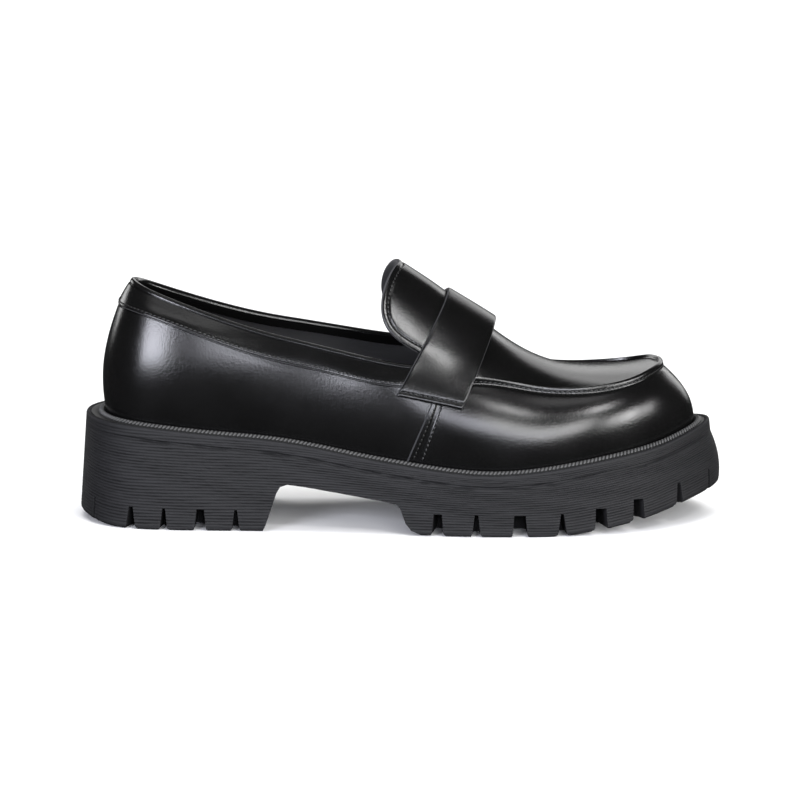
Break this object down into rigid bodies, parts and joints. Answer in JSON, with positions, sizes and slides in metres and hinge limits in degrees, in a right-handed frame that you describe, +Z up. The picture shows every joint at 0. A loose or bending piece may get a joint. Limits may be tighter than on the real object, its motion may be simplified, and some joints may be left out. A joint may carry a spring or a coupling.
{
  "type": "platform loafer",
  "caption": "Black leather slip-on loafer for the right foot on a thick lugged platform sole, with a raised apron seam, a tongue and a plain saddle strap.",
  "frame": {"origin": "on the floor under the middle of the shoe's length and width", "axes": "+X from the heel to the toe, +Y to the big-toe side, +Z up"},
  "size_m": [0.2754, 0.0995, 0.1115],
  "materials": {
    "sole_rubber": "matte moulded rubber with fine ribs",
    "welt_rubber": "matte, stitched",
    "insole_sock": "soft matte lining",
    "black_leather": "polished, fine grain"
  },
  "bodies": {
    "root": {"outsole": "sole_rubber", "welt": "welt_rubber", "insole": "insole_sock", "upper": "black_leather", "tongue": "black_leather", "saddle_strap": "black_leather", "collar_band": "black_leather"}
  },
  "joints": []
}
